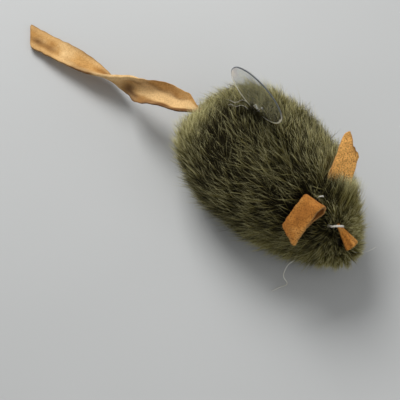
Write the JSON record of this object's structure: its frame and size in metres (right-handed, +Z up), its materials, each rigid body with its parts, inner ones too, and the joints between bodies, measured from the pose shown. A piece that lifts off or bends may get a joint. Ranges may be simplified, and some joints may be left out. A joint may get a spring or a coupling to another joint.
{
  "type": "catnip mouse",
  "caption": "Stuffed mouse of olive pile fabric with folded suede ears, a pleated suede nose, a twisted suede strip tail and a clear disc tag standing on its back.",
  "frame": {"origin": "on the belly's flat face, halfway along the body and on its middle plane", "axes": "+X towards the nose, +Y towards the mouse's left side, +Z up"},
  "size_m": [0.1681, 0.05, 0.0629],
  "materials": {
    "pile_fabric": "olive pile fabric",
    "belly_fabric": "short-napped olive fabric",
    "fibre_fill": "loose white fibre",
    "dried_herb": "crumbled dried leaves",
    "tan_suede": "raw suede, matt",
    "ear_suede": "raw suede, matt",
    "white_thread": "twisted sewing thread",
    "olive_thread": "twisted sewing thread",
    "clear_film": "clear glossy sheet"
  },
  "bodies": {
    "mouse_body": {"left_fur_panel": "pile_fabric", "right_fur_panel": "pile_fabric", "belly_panel": "belly_fabric", "stuffing": "fibre_fill", "catnip_filling": "dried_herb", "back_seam_thread": "olive_thread", "belly_seam_thread": "olive_thread", "left_ear_stitch": "white_thread", "right_ear_stitch": "white_thread", "nose_stitch": "white_thread", "tag_thread": "white_thread"},
    "tail_root": {"tail_binding": "white_thread"},
    "tail_strip": {"tail": "tan_suede"},
    "left_ear_leaf": {"left_ear": "ear_suede"},
    "right_ear_leaf": {"right_ear": "ear_suede"},
    "nose_leaf": {"nose_tab": "ear_suede"},
    "tag": {"tag_disc": "clear_film"}
  },
  "joints": [
    {"name": "tail_swing", "type": "hinge", "parent": "mouse_body", "child": "tail_root", "pos_m": [-0.0366, -0.00392, 0.02577], "axis": [0, 0, 1], "range_deg": [-40, 40], "stiffness_Nm_per_rad": 0.002},
    {"name": "tail_lift", "type": "hinge", "parent": "tail_root", "child": "tail_strip", "pos_m": [-0.0366, -0.00392, 0.02577], "axis": [-0.2164, 0.9763, 0], "range_deg": [0, 50]},
    {"name": "left_ear_flap", "type": "hinge", "parent": "mouse_body", "child": "left_ear_leaf", "pos_m": [0.01959, 0.01097, 0.0319], "axis": [0.6571, 0.5762, -0.4861], "range_deg": [-10, 45], "stiffness_Nm_per_rad": 0.001},
    {"name": "right_ear_flap", "type": "hinge", "parent": "mouse_body", "child": "right_ear_leaf", "pos_m": [0.02213, -0.0052, 0.0361], "axis": [-0.9983, -0.0029, -0.0583], "range_deg": [0, 75], "stiffness_Nm_per_rad": 0.0008},
    {"name": "nose_tab_lift", "type": "hinge", "parent": "mouse_body", "child": "nose_leaf", "pos_m": [0.03095, -0.00052, 0.02733], "axis": [-0.043, -0.9879, -0.149], "range_deg": [0, 15], "stiffness_Nm_per_rad": 0.0001},
    {"name": "tag_tilt", "type": "hinge", "parent": "mouse_body", "child": "tag", "pos_m": [-0.01712, 0.00523, 0.04009], "axis": [0.999, 0.0436, 0], "range_deg": [-49, 41]}
  ]
}
